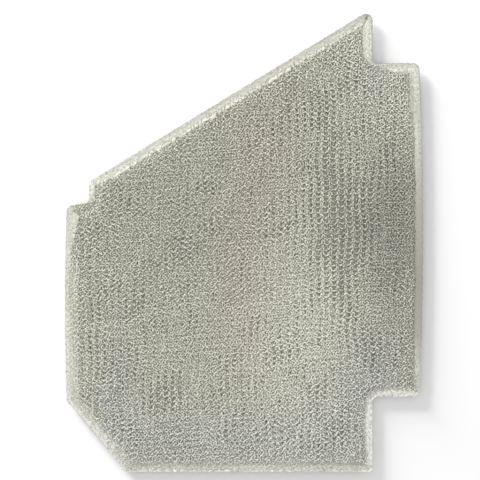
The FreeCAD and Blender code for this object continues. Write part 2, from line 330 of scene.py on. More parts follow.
# Anticlockwise from the peak. The knit runs out over the rim where the crushed width is small.
EDGE_MARKS = [EdgeMark(*values) for values in (
    (93, 170, 0.3, 0.1, 0.4, 0, 0.0), (87, 167, 6.0, 0.6, 0.9, 0, 0.6),
    (76, 158, 6.2, 0.62, 0.8, 0, 0.8), (-18, 103, 6.4, 0.65, 0.8, 0, 0.8),
    (-100, 55, 6.0, 0.78, 0.6, 0, 0.7), (-114, 46, 4.8, 0.88, 0.5, 1, 0.3),
    (-116, 40, 4.2, 1.0, 0.3, 1, 0.2), (-116, 33, 3.0, 0.9, 0.2, 1, 0.0),
    (-117, 30, 0.4, 0.5, 0.3, 1, 0.0), (-124, 28, 0.8, 0.4, 0.6, 1, 0.0),
    (-129, 28, 4.0, 0.65, 0.8, 0, 0.5), (-133, 24, 10.0, 0.64, 0.7, 0, 1.0),
    (-133, 11, 8.0, 0.66, 0.5, 0, 1.0), (-133, -2, 4.8, 0.68, 0.5, 1, 0.7),
    (-133, -12, 2.0, 0.8, 0.3, 5, 0.2), (-133, -24, 0.8, 0.85, 0.15, 13, 0.0),
    (-133, -73, 0.8, 0.9, 0.1, 13, 0.0), (-133, -105, 2.4, 1.1, 0.6, 12, 0.0),
    (-129, -122, 2.8, 1.2, 0.6, 10, 0.0), (-108, -144, 2.8, 1.2, 0.5, 10, 0.0),
    (-93, -163, 0.8, 1.1, 0.2, 14, 0.0), (-78, -172, 0.6, 1.0, 0.4, 12, 0.0),
    (79, -172, 0.6, 1.0, 0.4, 12, 0.0), (95, -172, 0.8, 0.9, 0.0, 8, 0.0),
    (97, -163, 3.2, 1.1, 0.0, 4, 0.0), (97, -129, 4.4, 1.15, 0.0, 4, 0.0),
    (98, -116, 1.5, 0.9, 0.0, 6, 0.0), (106, -116, 4.6, 0.9, 0.0, 6, 0.0),
    (124, -116, 3.4, 0.9, 0.0, 7, 0.0), (132, -110, 0.6, 0.5, 0.0, 6, 0.0),
    (133, -95, 4.0, 0.5, 0.0, 4, 0.0), (134, -70, 5.4, 0.12, 0.0, 3, 0.0),
    (134, -30, 5.8, 0.0, 0.0, 1, 0.0), (134, 40, 5.8, 0.25, 0.3, 1, 0.2),
    (133, 77, 5.2, 0.6, 0.4, 3, 0.1), (132, 100, 6.8, 0.52, 0.4, 6, 0.2),
    (130, 131, 8.0, 1.0, 1.0, 1, 0.6), (113, 135, 6.0, 1.0, 1.0, 1, 0.6),
    (103, 135, 2.5, 0.6, 0.9, 2, 0.2), (97, 133, 0.3, 0.4, 0.2, 3, 0.0),
    (97, 140, 6.5, 1.0, 0.6, 0, 0.4), (97, 156, 7.2, 1.0, 0.8, 0, 0.45),
    (97, 163, 6.0, 0.9, 0.8, 0, 0.4),
)]


class CrushedEdge:
    """How the knit is crushed, all along the outline."""

    spacing = 1.0 * MM
    # The crushed width wavers by this share, in waves of this length.
    waver = 0.07
    waver_length = 7 * MM
    waver_seed = 61
    # The edge tells on the knit this far in, as a multiple of the crest's inset.
    reach = 2

    def __init__(self, marks):
        self.places, _ = PAD.stations(self.spacing)
        found = nearest_station(np.array([(mark.x, mark.y) for mark in marks]) * MM, self.places)
        order = np.arange(len(self.places))
        self.width, self.shine, self.line, self.fade, self.crease_shade = (
            np.interp(order, found, values, period=len(order))
            for values in np.array([mark[2:] for mark in marks]).T)
        self.width *= MM * (1 + self.waver * ripples(self.places, self.waver_seed, self.waver_length))
        self.fade *= MM

    def beside(self, flat, inset):
        """The crushed width, shine, fade and crease beside places, all 0 far in from the edge.

        Shine carries painted light and shade, and crease the painted shade in the fold.
        """
        near = (inset > 0.0) & (inset < self.reach * PAD.crest_inset)
        station = nearest_station(flat[near], self.places)
        found = np.zeros((4, *inset.shape))
        for values, marked in zip(found, (self.width, self.shine, self.fade, self.crease_shade)):
            values[near] = marked[station]
        return found


EDGE = CrushedEdge(EDGE_MARKS)


class TonePatch(NamedTuple):
    """A soft patch of the face in millimetres: how much lighter it is, and how much bluer."""

    x: float
    y: float
    reach_x: float
    reach_y: float
    light: float
    cool: float


# The face is lightest below its middle and darkest along its right, where the darkening is painted shade.
# A pinkish streak runs down it in two stretches. It looks bluish along the lower edge, by its corners and
# both notches.
TONE_PATCHES = [TonePatch(*values) for values in (
    (40, -69, 28, 50, 0.2, 0.0), (111, 13, 22, 40, -0.28, 0.0), (-40, 4, 45, 38, -0.07, 0.0),
    (16, 70, 20, 36, 0.0, -0.6), (0, -35, 17, 52, 0.0, -0.75), (25, -150, 110, 24, 0.06, 0.5),
    (97, -110, 16, 30, 0.0, 0.7), (-97, -122, 9, 32, 0.02, 0.6), (99, 122, 7, 9, -0.05, 0.5),
    (0, -85, 110, 55, 0.07, 0.0), (-120, -45, 14, 60, 0.04, 0.0), (108, 112, 22, 25, 0.13, 0.0),
    (85, 150, 14, 14, 0.08, 0.0), (108, -65, 20, 36, -0.06, 0.0), (70, 15, 22, 70, 0.07, 0.0),
)]


def face_tone(places):
    """How light and how bluish the wire looks at places on the face."""
    light, cool = np.ones(places.shape[:-1]), np.zeros(places.shape[:-1])
    for patch in TONE_PATCHES:
        away = (places / MM - (patch.x, patch.y)) / (patch.reach_x, patch.reach_y)
        near = np.exp(-0.5 * (away ** 2).sum(-1))
        light += patch.light * near
        cool += patch.cool * near
    return light, cool


def add_node(tree, kind, sockets, **settings):
    """Adds a node with its settings, and fills its sockets with values or other outputs."""
    made = tree.nodes.new(kind)
    for name, value in settings.items():
        setattr(made, name, value)
    for name, value in sockets.items():
        if isinstance(value, bpy.types.NodeSocket):
            tree.links.new(value, made.inputs[name])
        else:
            made.inputs[name].default_value = value
    return made


def new_material(name):
    """An empty node material, with its tree."""
    material = bpy.data.materials.new(name)
    material.use_nodes = True
    material.node_tree.nodes.clear()
    return material, material.node_tree


def opaque(rgb):
    """A colour as a socket takes it."""
    return (*rgb, 1.0)


def per_metre(millimetres):
    """Texture scale at which one cell of a pattern measures so many millimetres."""
    return 1.0 / (millimetres * MM)


# Painted glints on the wire, with painted shade in the dots between them, and the lines of its drawing
# die are too fine to show in the render, so both are drawn as coarse as they need to be to show. All four
# sizes are in millimetres.
GLINT_SPACING = 1.62
DIE_LINES = 0.4
CRUSHED_STRANDS = 1.8
DEEP_STRANDS = 2.6
# The glints' lattice is turned by so many radians, to lie along neither rows nor columns.
GLINT_TURN = 0.6


def bare_wire(finish):
    """Knitted aluminium wire, drawn, flattened and dulled by oxide.

    It gives a soft grey sparkle: painted shade in dark dots between painted glints, a satin sheen that
    differs along the wire, faint bluish and pinkish areas, and a paler burnish where the knit was
    pressed, which partly carries painted light.
    """
    material, tree = new_material("knitted_aluminium_wire")
    place = add_node(tree, "ShaderNodeTexCoord", {}).outputs["Object"]
    tint, light, pressed = (
        add_node(tree, "ShaderNodeAttribute", {}, attribute_name=name).outputs["Fac"]
        for name in ("cool", "light", "pressed"))
    cool, warm = (
        add_node(tree, "ShaderNodeMapRange", {"Value": tint, "From Max": most}).outputs["Result"]
        for most in (1.0, -1.0))
    cooled = add_node(tree, "ShaderNodeMixRGB", {
        "Fac": cool, "Color1": opaque(finish.wire), "Color2": opaque(finish.cool_wire)})
    warmed = add_node(tree, "ShaderNodeMixRGB", {
        "Fac": warm, "Color1": cooled.outputs["Color"], "Color2": opaque(finish.warm_wire)})
    turned = add_node(tree, "ShaderNodeMapping", {"Vector": place, "Rotation": (0.0, 0.0, GLINT_TURN)})
    # Painted glints, with painted shade in the dots between them.
    glint = add_node(tree, "ShaderNodeTexVoronoi", {
        "Vector": turned.outputs["Vector"], "Scale": per_metre(GLINT_SPACING), "Randomness": 0.63},
        voronoi_dimensions="2D")
    tone = add_node(tree, "ShaderNodeMapRange", {
        "Value": glint.outputs["Distance"], "From Min": 0.05, "From Max": 0.5,
        "To Min": 0.17, "To Max": 1.15})
    level = add_node(tree, "ShaderNodeMath", {
        0: tone.outputs["Result"], 1: light}, operation="MULTIPLY")
    toned = add_node(tree, "ShaderNodeVectorMath", {
        0: warmed.outputs["Color"], "Scale": level.outputs["Value"]}, operation="SCALE")
    # Burnish where the knit was pressed, partly painted light.
    burnished_and_lit = add_node(tree, "ShaderNodeMixRGB", {
        "Fac": pressed, "Color1": toned.outputs["Vector"], "Color2": opaque(finish.crushed)})
    grain = add_node(tree, "ShaderNodeTexNoise", {
        "Vector": place, "Scale": per_metre(DIE_LINES), "Detail": 2.0}).outputs["Fac"]
    dull = add_node(tree, "ShaderNodeMapRange", {"Value": grain, "To Min": 0.45, "To Max": 0.7})
    bump = add_node(tree, "ShaderNodeBump", {
        "Height": grain, "Strength": 0.25, "Distance": 0.05 * MM})
    shader = add_node(tree, "ShaderNodeBsdfPrincipled", {
        "Base Color": burnished_and_lit.outputs["Color"], "Metallic": 0.4,
        "Roughness": dull.outputs["Result"], "Normal": bump.outputs["Normal"]})
    add_node(tree, "ShaderNodeOutputMaterial", {"Surface": shader.outputs["BSDF"]})
    return material


def crushed_mesh(finish):
    """Knitted aluminium pressed flat.

    Its strands lie together, so it looks bright and satin. It has grey flecks of painted shade where gaps
    were flattened, and a grey line at the cut edge that is partly painted shade. It is painted in shade
    where it lies away from the light.
    """
    material, tree = new_material("crushed_aluminium_mesh")
    place = add_node(tree, "ShaderNodeTexCoord", {}).outputs["Object"]
    edge, shine, tint = (
        add_node(tree, "ShaderNodeAttribute", {}, attribute_name=name).outputs["Fac"]
        for name in ("edge_grey_and_shade", "shine", "cool"))
    cool = add_node(tree, "ShaderNodeMapRange", {"Value": tint, "From Max": 1.0})
    bright = add_node(tree, "ShaderNodeMixRGB", {
        "Fac": cool.outputs["Result"], "Color1": opaque(finish.crushed),
        "Color2": opaque(finish.cool_rim)})
    strands = add_node(tree, "ShaderNodeTexNoise", {
        "Vector": place, "Scale": per_metre(CRUSHED_STRANDS), "Detail": 2.0,
        "Distortion": 0.6}).outputs["Fac"]
    # Grey flecks: painted shade in the gaps between crushed strands.
    fleck = add_node(tree, "ShaderNodeMapRange", {
        "Value": strands, "From Min": 0.45, "From Max": 0.3, "To Min": 0.0, "To Max": 0.85})
    # The shine mix paints light and shade: full colour where the rim lies towards the light, the shaded
    # colour where it lies away.
    lit = add_node(tree, "ShaderNodeMixRGB", {
        "Fac": shine, "Color1": opaque(finish.shaded_rim), "Color2": bright.outputs["Color"]})
    # Darkens towards the cut edge: partly its own grey, partly painted shade.
    edged = add_node(tree, "ShaderNodeMixRGB", {
        "Fac": edge, "Color1": lit.outputs["Color"], "Color2": opaque(finish.edge_grey_and_shade)},
        blend_type="DARKEN")
    flecked = add_node(tree, "ShaderNodeMixRGB", {
        "Fac": fleck.outputs["Result"], "Color1": edged.outputs["Color"],
        "Color2": opaque(finish.fleck)})
    bump = add_node(tree, "ShaderNodeBump", {
        "Height": strands, "Strength": 0.3, "Distance": 0.12 * MM})
    shader = add_node(tree, "ShaderNodeBsdfPrincipled", {
        "Base Color": flecked.outputs["Color"], "Metallic": 0.4, "Roughness": 0.5,
        "Normal": bump.outputs["Normal"]})
    add_node(tree, "ShaderNodeOutputMaterial", {"Surface": shader.outputs["BSDF"]})
    return material


def deep_mesh(finish):
    """Knitted aluminium far below the face, darkened as painted shade of its depth, with strands that
    still catch a little light.
    """
    material, tree = new_material("deep_knitted_aluminium")
    place = add_node(tree, "ShaderNodeTexCoord", {}).outputs["Object"]
    strands = add_node(tree, "ShaderNodeTexVoronoi", {
        "Vector": place, "Scale": per_metre(DEEP_STRANDS), "Randomness": 0.9},
        feature="DISTANCE_TO_EDGE")
    wire = add_node(tree, "ShaderNodeMapRange", {
        "Value": strands.outputs["Distance"], "From Min": 0.08, "From Max": 0.2,
        "To Min": 1.0, "To Max": 0.85})
    # The deep colour is darker than the open wire, as painted shade of the depth.
    shade = add_node(tree, "ShaderNodeVectorMath", {
        0: finish.deep, "Scale": wire.outputs["Result"]}, operation="SCALE")
    shader = add_node(tree, "ShaderNodeBsdfPrincipled", {
        "Base Color": shade.outputs["Vector"], "Metallic": 0.5, "Roughness": 0.6})
    add_node(tree, "ShaderNodeOutputMaterial", {"Surface": shader.outputs["BSDF"]})
    return material


def new_piece(name, points, faces, material):
    """A smooth mesh piece on the filter's body."""
    mesh = bpy.data.meshes.new(name)
    mesh.from_pydata(points.reshape(-1, 3).tolist(), [], faces)
    mesh.polygons.foreach_set("use_smooth", np.ones(len(faces), dtype=bool))
    mesh.materials.append(material)
    piece = bpy.data.objects.new(name, mesh)
    bpy.context.scene.collection.objects.link(piece)
    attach(piece, BODY)
    return piece


def lay_bake_map(piece, corners):
    """Gives a piece its own map, with a place for each corner of each face."""
    layer = piece.data.uv_layers.new(name="OFBake")
    layer.uv.foreach_set("vector", corners.astype(np.float32).ravel())


def mark_points(piece, name, values):
    """Gives each point of a piece a value that its material reads."""
    mark = piece.data.attributes.new(name, "FLOAT", "POINT")
    mark.data.foreach_set("value", values.astype(np.float32).ravel())


class KnitLayer(NamedTuple):
    """One knitted sheet.

    face is the side that it lies on, and depth how far below the surface. seed draws how its knit
    wanders, which sheets of one side may share, and own_seed how it strays from those. stretch is
    how far it is drawn out across and along, turn its angle in degrees and slack how far it slips.
    margin is how far short of the crushed band it stops, and steps the points in one loop. A
    crushed sheet lies flat on the rim instead.
    """

    name: str
    face: int
    depth: float
    seed: int
    own_seed: int
    stretch: tuple
    turn: float
    slack: float
    margin: float
    steps: int
    crushed: bool = False


FACE_DEPTH = 0.55 * MM
KNIT_LAYERS = (
    KnitLayer("first_knit_top", TOP, FACE_DEPTH, 11, 61, (1.0, 1.0), 0.0, 0.0, 0.0, 8),
    KnitLayer("second_knit_top", TOP, 0.75 * MM, 11, 81, (1.03, 1.001), 0.05, 2.4 * MM, 0.4 * MM, 8),
    KnitLayer("third_knit_top", TOP, 1.0 * MM, 11, 111, (0.975, 0.999), -0.05, 2.8 * MM, 0.8 * MM, 6),
    KnitLayer("fourth_knit_top", TOP, 1.25 * MM, 11, 131, (0.96, 1.002), 0.04, 2.0 * MM, 1.2 * MM, 6),
    KnitLayer("fifth_knit_top", TOP, 1.5 * MM, 29, 179, (1.06, 0.94), -2.5, 0.0, 1.6 * MM, 6),
    KnitLayer("first_knit_under", UNDER, FACE_DEPTH, 23, 73, (1.01, 0.99), -0.6, 0.0, 0.0, 6),
    KnitLayer("second_knit_under", UNDER, 0.75 * MM, 23, 93, (0.96, 1.01), 0.5, 1.5 * MM, 0.8 * MM, 6),
    KnitLayer("pressed_knit_top", TOP, 0.0, 11, 11, (1.0, 1.0), 0.0, 0.0, 0.0, 8, crushed=True),
    KnitLayer("pressed_knit_under", UNDER, 0.0, 23, 23, (1.01, 0.99), -0.6, 0.0, 0.0, 8, crushed=True),
)
WIRE_SIDES = 3


class ColumnZone(NamedTuple):
    """Where sheets lie loop on loop and open into columns of holes, in millimetres."""

    x: float
    y: float
    reach_x: float
    reach_y: float
    hold: float

    def grip(self, places):
        """How firmly the zone holds loops at places in the plane."""
        away = (places / MM - (self.x, self.y)) / (self.reach_x, self.reach_y)
        return self.hold * np.exp(-(away ** 2).sum(-1))


COLUMN_ZONES = (
    ColumnZone(70, 15, 30, 80, 1.0), ColumnZone(-57, -105, 22, 35, 0.45),
    ColumnZone(-10, -95, 25, 38, 0.45), ColumnZone(-114, -80, 14, 30, 0.4))


def slackness(places):
    """How freely loops stray: 0 in the middle of the firmest zone, 1 far from all of them."""
    held = np.zeros(places.shape[:-1])
    for zone in COLUMN_ZONES:
        held = np.maximum(held, zone.grip(places))
    return 1 - held


def out_of_step(places, centre, stretch, pitch):
    """How far across a stretched sheet has to move to lie loop on loop in each zone of columns."""
    move = np.zeros(places.shape[:-1])
    for zone in COLUMN_ZONES:
        turns = (stretch - 1) * (zone.x * MM - centre[0]) / pitch
        move += (turns - round(turns)) * pitch * zone.grip(places)
    return move


def strayed(places, seed, wavelength):
    """A smooth random shift across and along, for places in the plane."""
    return np.stack([ripples(places, seed + axis, wavelength) for axis in (1, 2)], axis=-1)


# The lattice of loops reaches this much further than the pad's far corners.
LATTICE_REACH = 1.15
# How far courses slip across, as a standard deviation.
COURSE_SLIP = 0.2 * MM
# Lengths of the waves in which loops stray.
WANDER_LENGTH = 38 * MM
SLACK_LENGTH = 50 * MM
JITTER_LENGTH = 4 * MM
# Added to a sheet's own seed.
SLACK_SEED = 4
JITTER_SEED = 6
# Share of the jitter that is left where a zone holds the loops.
HELD_JITTER = 0.4
# Sheets slip across each other far more than along, so their rows of loops still line up.
SLACK_ACROSS = (1.0, 0.12)


def even_loops(knit, layer, centre):
    """An even lattice of loops: places along every course, and the wire's turn at each step."""
    reach = LATTICE_REACH * (np.abs(np.array(CAD_BOX)[:, :2]).max(0) + np.abs(centre))
    across = int(reach[0] / knit.wale_pitch) * layer.steps
    along = int(reach[1] / knit.course_pitch)
    turn = np.arange(-across, across + 1) * FULL_TURN / layer.steps
    course = np.arange(-along, along + 1)
    slip = np.random.default_rng(layer.seed).normal(0.0, COURSE_SLIP, len(course))
    x = knit.wale_pitch * turn / FULL_TURN + knit.loop_bulge * np.sin(2 * turn)
    x = x[None, :] + slip[:, None]
    y = course[:, None] * knit.course_pitch + knit.loop_reach * np.cos(turn)[None, :]
    return np.stack([x, y], axis=2) * np.array(layer.stretch), turn


def loop_lattice(knit, layer):
    """Places of the wire along every course of a sheet, with 1 on heads and feet and -1 on legs.

    Also how freely the wire strays there. Sheets are stretched and turned about the middle of the
    first zone of columns, so their loops lie over each other there.
    """
    centre = np.array(COLUMN_ZONES[0][:2]) * MM
    flat, turn = even_loops(knit, layer, centre)
    angle = math.radians(layer.turn)
    spin = np.array([[math.cos(angle), math.sin(angle)], [-math.sin(angle), math.cos(angle)]])
    flat = flat @ spin
    flat[..., 1] += knit.row_rise * flat[..., 0]
    flat += centre
    flat[..., 0] -= out_of_step(flat, centre, layer.stretch[0], knit.wale_pitch)
    free = slackness(flat)
    loose = free[..., None]
    shaken = HELD_JITTER + (1 - HELD_JITTER) * loose
    shift = knit.wander * strayed(flat, layer.seed, WANDER_LENGTH)
    shift += layer.slack * loose * strayed(flat, layer.own_seed + SLACK_SEED, SLACK_LENGTH) * SLACK_ACROSS
    shift += knit.jitter * shaken * strayed(flat, layer.own_seed + JITTER_SEED, JITTER_LENGTH)
    # Where a zone holds the loops, their legs are drawn together up to twice as far.
    shift[..., 0] -= knit.loop_pinch * (2.0 - free) * np.sin(turn)
    return flat + shift, np.broadcast_to(np.cos(2 * turn), free.shape), free


def wire_rings(centres, width, thickness, face):
    """The wire's section round every centre, with its first corner pointing out of the face."""
    ahead = np.gradient(centres, axis=1)
    ahead /= np.linalg.norm(ahead, axis=2, keepdims=True)
    side = np.stack([-ahead[..., 1], ahead[..., 0], np.zeros(width.shape)], axis=2)
    side /= np.linalg.norm(side, axis=2, keepdims=True)
    up = np.cross(ahead, side)
    wide, thick = width[..., None] / 2, thickness / 2
    angles = face * math.pi / 2 + np.arange(WIRE_SIDES) * FULL_TURN / WIRE_SIDES
    return np.stack([
        centres + side * wide * math.cos(angle) + up * thick * math.sin(angle)
        for angle in angles], axis=2)


def wire_faces(kept):
    """Faces and map of wire with closed ends, along rows of rings where they are kept."""
    rows, steps = kept.shape
    corner = np.arange(WIRE_SIDES)
    number = (np.cumsum(kept).reshape(kept.shape) - 1) * WIRE_SIDES
    row, step = np.nonzero(kept[:, :-1] & kept[:, 1:])
    here, there = number[row, step][:, None] + corner, number[row, step + 1][:, None] + corner
    walls = np.stack([here, np.roll(here, -1, 1), np.roll(there, -1, 1), there], axis=2)
    low = (row[:, None] + corner / WIRE_SIDES) / rows
    high = low + 1 / WIRE_SIDES / rows
    left = np.broadcast_to(step[:, None] / steps, low.shape)
    right = left + 1 / steps
    wall_map = np.stack([left, low, left, high, right, high, right, low], axis=2)
    joined = np.pad(kept, ((0, 0), (1, 1)))
    first, last = kept & ~joined[:, :-2], kept & ~joined[:, 2:]
    ends = np.concatenate([
        number[first][:, None] + corner[::-1], number[last][:, None] + corner])
    end_row, end_step = np.concatenate([np.argwhere(first), np.argwhere(last)]).T
    end_place = np.stack([end_step / steps, end_row / rows], axis=1)
    corners = np.concatenate([wall_map.ravel(), np.repeat(end_place, WIRE_SIDES, axis=0).ravel()])
    return walls.reshape(-1, 4).tolist() + ends.tolist(), corners


# Open wire ends this far from the cut edge.
EDGE_GAP = 0.5 * MM
# A sheet with a wider margin than the first of these ends the second inside the field's foot.
FIELD_MARGIN = 0.5 * MM
FIELD_GAP = 0.5 * MM
# Open wire lies this far above the surface, and no wire's middle comes closer to the pad's top.
OPEN_RISE = 0.1 * MM
TOP_GAP = 0.19 * MM
# A crushed sheet shows from here to just past the crushed band, where that is bright enough.
CRUSHED_FROM = 0.7 * MM
CRUSHED_PAST = 0.8 * MM
CRUSHED_SHINE = 0.6
CRUSHED_LIFT = 0.1


def wire_kept(layer, inset, bare, shine):
    """Where a sheet has wire: on the face up to its margin, or crushed on the bright rim."""
    if layer.crushed:
        kept = (inset > CRUSHED_FROM) & (inset < bare + CRUSHED_PAST) & (shine > CRUSHED_SHINE)
    else:
        kept = inset > np.maximum(bare, EDGE_GAP) + layer.margin
        if layer.margin > FIELD_MARGIN:
            kept &= inset > PAD.rim_width + FIELD_GAP
    # A place with no neighbour makes no wire.
    kept[:, 1:-1] &= kept[:, :-2] | kept[:, 2:]
    return kept


def wire_height(knit, layer, inset, heads):
    """Height of the wire over the pad's middle, with heads above legs."""
    lift = knit.loop_lift * heads
    if layer.crushed:
        lift = CRUSHED_LIFT * lift
    height = PAD.half_height(inset) - layer.depth * PAD.climb(inset)
    height += lift * smooth(inset / PAD.crest_inset)
    if not layer.crushed:
        height += OPEN_RISE
    return np.minimum(height, PAD.pad_half - TOP_GAP)


# How bright the top sheet is, what each millimetre of depth takes off as painted shade, and what a head
# adds.
TOP_LIGHT = 1.1
DEPTH_LOSS = 0.14
HEAD_LIGHT = 0.2
# How dark the painted shade in the fold beside the crushed band gets, and how far it reaches.
CREASE_LOSS = 0.35
CREASE_REACH = 2.5 * MM
# How strongly the knit beyond the band gets the pressed burnish, partly real and partly painted light
# that follows the rim's shine, and the least that this fades over.
PRESSED_SHARE = 0.85
PRESSED_FADE = 0.5 * MM


def wire_finish(layer, flat, heads, beyond, crush):
    """How pressed, how light and how bluish the wire is, by its distance beyond the crushed band.

    The pressed burnish partly carries painted light, and the lightness carries painted shade of depth and
    of the fold.
    """
    shine, fade, crease_shade = crush
    # Pressed burnish, partly painted light: it follows the rim's painted shine.
    pressed = PRESSED_SHARE * shine * (1 - smooth(beyond / np.maximum(fade, PRESSED_FADE)))
    light, cool = face_tone(flat)
    light *= TOP_LIGHT - DEPTH_LOSS * (layer.depth - FACE_DEPTH) / MM
    light *= 1 + HEAD_LIGHT * heads
    light *= 1 - CREASE_LOSS * crease_shade * np.exp(-(beyond / CREASE_REACH) ** 2)
    return {"pressed": pressed, "light": light, "cool": cool}


def knit_sheet(knit, layer, material):
    """One sheet of knitted wire: draped over a face of the pad, or crushed flat on its rim."""
    flat, heads, free = loop_lattice(knit, layer)
    inset = PAD.inset(flat)
    bare, shine, fade, crease_shade = EDGE.beside(flat, inset)
    kept = wire_kept(layer, inset, bare, shine)
    height = wire_height(knit, layer, inset, heads)
    centres = np.dstack([flat, PAD.middle + layer.face * height])
    width = knit.wire_width * (1 + knit.head_spread * free * heads)
    rings = wire_rings(centres, width, knit.wire_thickness, layer.face)
    faces, corners = wire_faces(kept)
    piece = new_piece(layer.name, rings[kept], faces, material)
    finish = wire_finish(layer, flat, heads, inset - bare, (shine, fade, crease_shade))
    for name, values in finish.items():
        mark_points(piece, name, np.repeat(values[kept], WIRE_SIDES))
    lay_bake_map(piece, corners)


class RimStrip:
    """The crushed mesh round the edge, as places inwards from each station of the outline."""

    # How far it goes on under the open knit, past the crest of the field's wall.
    underlap = 8.0 * MM
    # The cut edge is rounded: how far in, and which share of the surface's height it has there.
    round_insets = np.array([0.0, 0.12, 0.4]) * MM
    round_shares = (0.3, 0.8, 1.0)
    # Places past the rounding, and where they start.
    flat_count = 22
    flat_from = 0.9 * MM
    # The cut edge wavers in waves of this length, and less and less this far in.
    ragged_seed = 31
    ragged_length = 3.5 * MM
    ragged_reach = 2.0 * MM
    # Past the crushed band it sinks below the open knit, by more on the field than on the rim.
    cover_spread = 1.4 * MM
    rim_sink = 0.4 * MM
    field_sink = 1.35 * MM
    # Where the band is narrower than this the knit runs out over the rim, and the strip sinks.
    open_width = 3.0 * MM
    open_spread = 2.0 * MM
    open_inset = 1.0 * MM
    open_sink = 0.55 * MM
    dent_seeds = {TOP: 41, UNDER: 47}
    dent_length = 3.2 * MM
    # The cut edge shows as a grey line, with a fainter strip beside it, partly its own grey and partly
    # painted shade along the edge.
    line_width = 0.2 * MM
    line_spread = 0.8 * MM
    strip_width = 2.8 * MM
    strip_spread = 1.0 * MM
    strip_share = 0.25
    # Shine that is lost past the band, over at least this distance, and on an open edge: painted shade
    # where the strip lies under the open knit.
    past_loss = 0.8
    past_fade = 1.4 * MM
    open_loss = 0.12
    # Shine grows from the cut edge to the inner side of the band, a painted highlight along its inner
    # side.
    edge_shine = 0.85
    inner_highlight = 0.3
    least_width = 1.0 * MM
    # Crushed strands speckle the shine, more where it is bright.
    speckle_seed = 53
    speckle_length = 2.8 * MM
    speckle_level = 1.03
    dull_speckle = 0.14
    bright_speckle = 0.3
    bright_from = 0.65
    bright_spread = 0.3
    # Rows into which the strip is cut on its map.
    map_rows = 8

    def __init__(self, rim):
        places, inward = PAD.stations(rim.station)
        reach = PAD.crest_inset + self.underlap
        insets = np.concatenate([
            self.round_insets, np.linspace(self.flat_from, reach, self.flat_count)])
        self.rounding = np.interp(insets, self.round_insets, self.round_shares)
        room = PAD.room(places, inward, reach)
        self.depth = np.minimum(insets[None, :], room[:, None])
        waver = 0.5 + 0.5 * ripples(places, self.ragged_seed, self.ragged_length)
        ragged = np.clip(rim.ragged * waver, 0.0, rim.ragged)[:, None]
        ragged = ragged * np.exp(-self.depth / self.ragged_reach)
        self.flat = places[:, None, :] + inward[:, None, :] * (self.depth + ragged)[..., None]
        self.dent = rim.dent
        self.station = nearest_station(places, EDGE.places)
        self.width = EDGE.width[self.station][:, None]
        narrow = smooth((self.open_width - self.width) / self.open_spread)
        self.open_edge = narrow * smooth(self.depth / self.open_inset)

    def rings(self):
        """A closed ring of points at every station: over the top and back along the underside."""
        covered = smooth((self.depth - self.width) / self.cover_spread)
        covered = covered * (self.rim_sink + self.field_sink * PAD.climb(self.depth))
        sunk = np.maximum(self.open_sink * self.open_edge, covered)
        surface = PAD.half_height(self.depth) * self.rounding - sunk
        sides = {}
        for face, seed in self.dent_seeds.items():
            dents = self.dent * (ripples(self.flat, seed, self.dent_length) - 1.0) * self.rounding
            sides[face] = np.dstack([self.flat, PAD.middle + face * (surface + dents)])
        return np.concatenate([sides[TOP], sides[UNDER][:, ::-1]], axis=1)

    def faces(self, count, around):
        """Faces and map of so many rings with so many points each."""
        number, part = np.divmod(np.arange(count * around), around)
        after, beside = (number + 1) % count, (part + 1) % around
        faces = np.stack([
            number * around + part, after * around + part,
            after * around + beside, number * around + beside], axis=1)
        per_row = math.ceil(count / self.map_rows)
        row, step = np.divmod(number, per_row)
        left, right = step / per_row, (step + 1) / per_row
        low, high = (row + part / around) / self.map_rows, (row + (part + 1) / around) / self.map_rows
        corners = np.stack([
            np.stack(pair, axis=1)
            for pair in ((left, low), (right, low), (right, high), (left, high))], axis=1)
        return faces.tolist(), corners

    def edge_grey_and_shade(self):
        """How grey the strip is towards its cut edge, partly as painted shade."""
        line = 1 - smooth((self.depth - self.line_width) / self.line_spread)
        strip = 1 - smooth((self.depth - self.strip_width) / self.strip_spread)
        return EDGE.line[self.station][:, None] * np.maximum(line, self.strip_share * strip)

    def shine(self):
        """How bright the strip is, as painted light and shade, with the speckle of its strands."""
        bright = EDGE.shine[self.station][:, None]
        fade = np.maximum(EDGE.fade[self.station][:, None], self.past_fade)
        shine = bright * (1 - self.past_loss * smooth((self.depth - self.width) / fade))
        shine *= 1 - self.open_loss * self.open_edge
        inner = np.clip(self.depth / np.maximum(self.width, self.least_width), 0.0, 1.0)
        shine *= self.edge_shine + self.inner_highlight * inner
        brightness = smooth((bright - self.bright_from) / self.bright_spread)
        speckle = self.dull_speckle + self.bright_speckle * brightness
        return shine * (
            self.speckle_level + speckle * ripples(self.flat, self.speckle_seed, self.speckle_length))


# The core lies this far below the surface, and further below the field.
CORE_DEPTH = 0.9 * MM
CORE_SINK = 1.2 * MM
# Its outer wall, found this close to the outline, is drawn in by this much.
CORE_EDGE = 0.5 * MM
CORE_INSET = 1.2 * MM
CORE_SPACING = 0.5 * MM


class GREASEFILTER_OT_core(bpy.types.Operator):
    """Adds the layers deep in the pad, darkened with painted shade"""

    bl_idname = "grease_filter.add_core"
    bl_label = "Add deep layers"

    def execute(self, context):
        material = deep_mesh(context.scene.filter_finish)
        points, faces = triangles_of(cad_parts[PAD_NODE].data)
        over = points[:, 2] - PAD.middle
        inset = PAD.inset(points[:, :2])
        height = np.minimum(np.abs(over), PAD.half_height(inset))
        height = height - CORE_DEPTH - CORE_SINK * PAD.climb(inset)
        points[:, 2] = PAD.middle + np.sign(over) * height
        edge = inset < CORE_EDGE
        stations, inward = PAD.stations(CORE_SPACING)
        points[edge, :2] += inward[nearest_station(points[edge, :2], stations)] * CORE_INSET
        core = new_piece("deep_layers", points, faces.tolist(), material)
        core.data.polygons.foreach_set("use_smooth", np.zeros(len(faces), dtype=bool))
        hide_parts(PAD_NODE)
        return {"FINISHED"}


